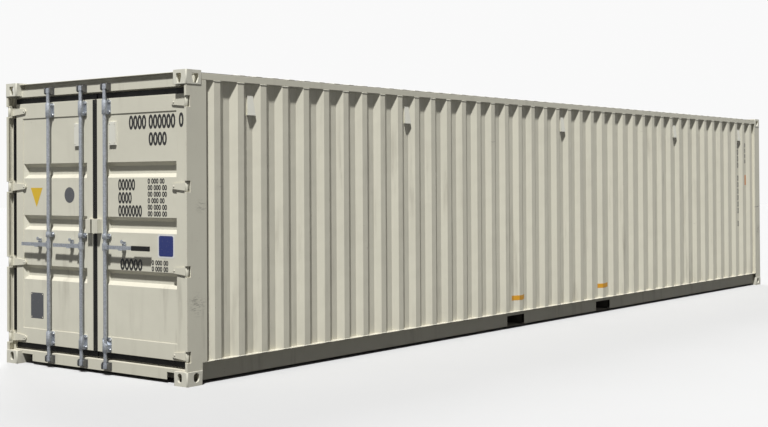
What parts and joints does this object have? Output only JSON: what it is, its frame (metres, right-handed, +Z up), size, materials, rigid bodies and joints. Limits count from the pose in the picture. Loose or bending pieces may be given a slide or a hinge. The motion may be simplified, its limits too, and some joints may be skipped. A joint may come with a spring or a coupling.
{
  "type": "shipping container",
  "caption": "Steel dry-freight container, 40 ft long and standard height, with corrugated walls, double doors, lock rods and corner castings.",
  "frame": {"origin": "centre of the footprint, on the ground under the corner castings", "axes": "+X from the door end to the front end, +Y to the left of someone who faces the doors, +Z up"},
  "size_m": [12.192, 2.438, 2.591],
  "materials": {
    "body_paint": "satin cream paint",
    "casting_paint": "satin cream paint, scuffed",
    "underside_paint": "dull dark coating",
    "galvanised_steel": "galvanised, dull",
    "gasket_rubber": "matt black",
    "grip_rubber": "matt black",
    "floor_plywood": "worn plywood"
  },
  "bodies": {
    "root": {"bottom_corner_castings": "casting_paint", "top_corner_castings": "casting_paint", "right_door_post": "body_paint", "left_door_post": "body_paint", "right_front_post": "body_paint", "left_front_post": "body_paint", "door_header": "body_paint", "door_sill": "body_paint", "front_sill": "body_paint", "front_header": "body_paint", "top_side_rails": "body_paint", "bottom_side_rails": "body_paint", "right_side_wall": "body_paint", "left_side_wall": "body_paint", "front_wall": "body_paint", "roof_panel": "body_paint", "floor_boards": "floor_plywood", "cross_members": "underside_paint", "fork_pockets": "underside_paint", "gooseneck_tunnel": "underside_paint", "hinge_lugs": "body_paint", "cam_keepers": "galvanised_steel", "wall_vents": "body_paint"},
    "right_door": {"right_door_frame": "body_paint", "right_door_panel": "body_paint", "right_door_gasket": "gasket_rubber", "right_door_hinges": "body_paint", "right_door_vent": "body_paint", "right_rod_brackets": "galvanised_steel", "right_lock_box": "body_paint"},
    "left_door": {"left_door_frame": "body_paint", "left_door_panel": "body_paint", "left_door_gasket": "gasket_rubber", "left_door_hinges": "body_paint", "left_door_vent": "body_paint", "left_rod_brackets": "galvanised_steel", "left_lock_box": "body_paint"},
    "right_rod": {"right_lock_rod": "galvanised_steel"},
    "left_inner_rod": {"left_inner_lock_rod": "galvanised_steel"},
    "left_outer_rod": {"left_outer_lock_rod": "galvanised_steel"},
    "right_handle_arm": {"right_handle": "galvanised_steel", "right_handle_grip": "grip_rubber"},
    "left_inner_handle_arm": {"left_inner_handle": "galvanised_steel"},
    "left_outer_handle_arm": {"left_outer_handle": "galvanised_steel"}
  },
  "joints": [
    {"name": "right_door_swing", "type": "hinge", "parent": "root", "child": "right_door", "pos_m": [-6.068, -1.193, 1.3], "axis": [0, 0, 1], "range_deg": [0, 255]},
    {"name": "left_door_swing", "type": "hinge", "parent": "root", "child": "left_door", "pos_m": [-6.068, 1.193, 1.3], "axis": [0, 0, -1], "range_deg": [0, 255]},
    {"name": "right_rod_turn", "type": "hinge", "parent": "right_door", "child": "right_rod", "pos_m": [-6.066, -0.162, 1.3], "axis": [0, 0, 1], "range_deg": [-100, 0]},
    {"name": "left_inner_rod_turn", "type": "hinge", "parent": "left_door", "child": "left_inner_rod", "pos_m": [-6.066, 0.162, 1.3], "axis": [0, 0, -1], "range_deg": [-100, 0]},
    {"name": "left_outer_rod_turn", "type": "hinge", "parent": "left_door", "child": "left_outer_rod", "pos_m": [-6.066, 0.622, 1.3], "axis": [0, 0, -1], "range_deg": [-100, 0]},
    {"name": "right_handle_lift", "type": "hinge", "parent": "right_rod", "child": "right_handle_arm", "pos_m": [-6.078, -0.208, 1.11], "axis": [1, 0, 0], "range_deg": [-25, 0]},
    {"name": "left_inner_handle_lift", "type": "hinge", "parent": "left_inner_rod", "child": "left_inner_handle_arm", "pos_m": [-6.078, 0.208, 1.11], "axis": [-1, 0, 0], "range_deg": [-25, 0]},
    {"name": "left_outer_handle_lift", "type": "hinge", "parent": "left_outer_rod", "child": "left_outer_handle_arm", "pos_m": [-6.078, 0.668, 1.11], "axis": [-1, 0, 0], "range_deg": [-25, 0]}
  ]
}
